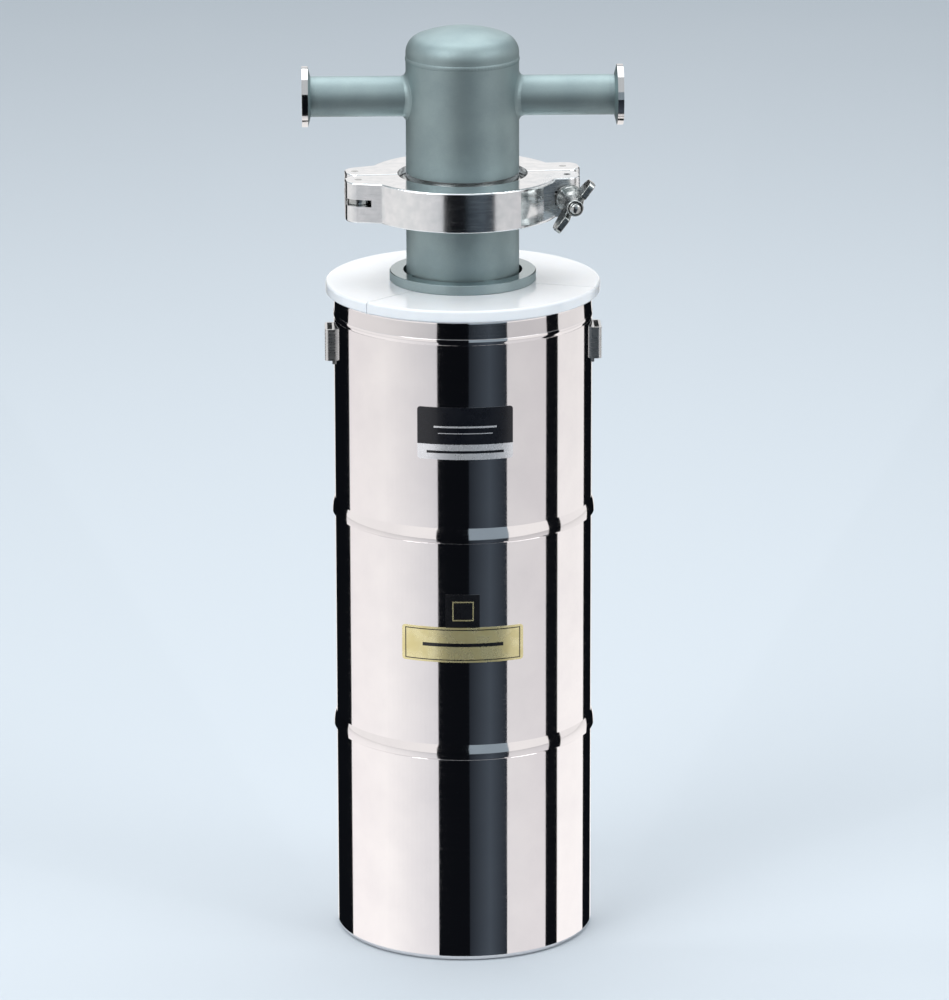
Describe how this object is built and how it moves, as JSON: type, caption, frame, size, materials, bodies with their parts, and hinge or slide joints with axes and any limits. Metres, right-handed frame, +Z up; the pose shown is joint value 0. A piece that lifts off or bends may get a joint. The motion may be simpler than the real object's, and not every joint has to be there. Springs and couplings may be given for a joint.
{
  "type": "liquid nitrogen dewar with cold trap",
  "caption": "Tall polished double-walled dewar for liquid nitrogen, with a white sector lid, holding a blasted steel cold trap closed by a hinged clamp under a tee head.",
  "frame": {"origin": "middle of the foot, at the level of the bench", "axes": "+Z up along the vessel's axis, +X along the arms towards the gas outlet, -Y towards the labels and the wing nut"},
  "size_m": [0.1586, 0.1368, 0.4645],
  "materials": {
    "polished_stainless": "mirror polished stainless sheet",
    "stainless_sheet": "plain rolled stainless sheet",
    "blasted_stainless": "fine bead blasted stainless",
    "turned_stainless": "turned and polished stainless",
    "plated_steel": "zinc plated steel",
    "cast_aluminium": "die cast aluminium, machined and tumbled",
    "white_plastic": "white moulded plastic, satin gloss",
    "o_ring_rubber": "black rubber",
    "black_silver_label": "printed label film",
    "gold_label": "printed metallic label film",
    "copper_tube": "drawn copper"
  },
  "bodies": {
    "dewar": {"outer_shell": "polished_stainless", "neck_ring": "polished_stainless", "inner_vessel": "stainless_sheet", "base_pan": "stainless_sheet", "evacuation_tube": "copper_tube", "port_cap": "stainless_sheet", "getter_can": "stainless_sheet", "left_bracket": "stainless_sheet", "right_bracket": "stainless_sheet", "upper_label": "black_silver_label", "lower_label": "gold_label"},
    "lid_front": {"lid_segment_front": "white_plastic"},
    "lid_left": {"lid_segment_left": "white_plastic"},
    "lid_right": {"lid_segment_right": "white_plastic"},
    "trap": {"collar": "blasted_stainless", "trap_tube": "blasted_stainless", "lower_flange": "turned_stainless", "centring_ring": "turned_stainless", "o_ring": "o_ring_rubber", "clamp_back": "cast_aluminium", "link_plate": "plated_steel", "hinge_pins": "plated_steel", "pivot_pin": "plated_steel"},
    "head": {"upper_flange": "turned_stainless", "head_tube": "blasted_stainless", "dome_cap": "blasted_stainless", "cap_weld": "blasted_stainless", "left_arm": "blasted_stainless", "right_arm": "blasted_stainless", "left_port_flange": "turned_stainless", "right_port_flange": "turned_stainless", "dip_tube": "blasted_stainless"},
    "clamp_arm": {"clamp_front": "cast_aluminium"},
    "bolt": {"swing_bolt": "plated_steel"},
    "washer": {"nut_washer": "plated_steel"},
    "nut": {"wing_nut": "plated_steel"}
  },
  "joints": [
    {"name": "lid_front_draw", "type": "slide", "parent": "dewar", "child": "lid_front", "axis": [0.2317, -0.9728, 0], "range_m": [0, 0.06]},
    {"name": "lid_right_draw", "type": "slide", "parent": "dewar", "child": "lid_right", "axis": [0.7337, 0.6794, 0], "range_m": [0, 0.06]},
    {"name": "lid_left_draw", "type": "slide", "parent": "dewar", "child": "lid_left", "axis": [-0.9613, 0.2756, 0], "range_m": [0, 0.06]},
    {"name": "trap_lift", "type": "slide", "parent": "dewar", "child": "trap", "axis": [0, 0, 1], "range_m": [0, 0.32]},
    {"name": "head_swivel", "type": "hinge", "parent": "trap", "child": "head", "pos_m": [0, 0, 0.3811], "axis": [0, 0, 1], "range_deg": [-180, 180]},
    {"name": "clamp_open", "type": "hinge", "parent": "trap", "child": "clamp_arm", "pos_m": [-0.0519, -0.01351, 0.3811], "axis": [0, 0, -1], "range_deg": [0, 6.4]},
    {"name": "bolt_swing", "type": "hinge", "parent": "trap", "child": "bolt", "pos_m": [0.05011, 0.01337, 0.3811], "axis": [0, 0, 1], "range_deg": [0, 110]},
    {"name": "nut_travel", "type": "slide", "parent": "bolt", "child": "washer", "axis": [0.0785, -0.9969, 0], "range_m": [0, 0.0121]},
    {"name": "nut_turn", "type": "hinge", "parent": "washer", "child": "nut", "pos_m": [0.05244, -0.01624, 0.3811], "axis": [0.0785, -0.9969, 0], "range_deg": [0, 4320]}
  ],
  "couplings": [
    {"joint": "nut_travel", "follows": "nut_turn", "m_per_rad": 0.00015915},
    {"joint": "clamp_open", "follows": "nut_turn", "ratio": 0.0014538}
  ]
}
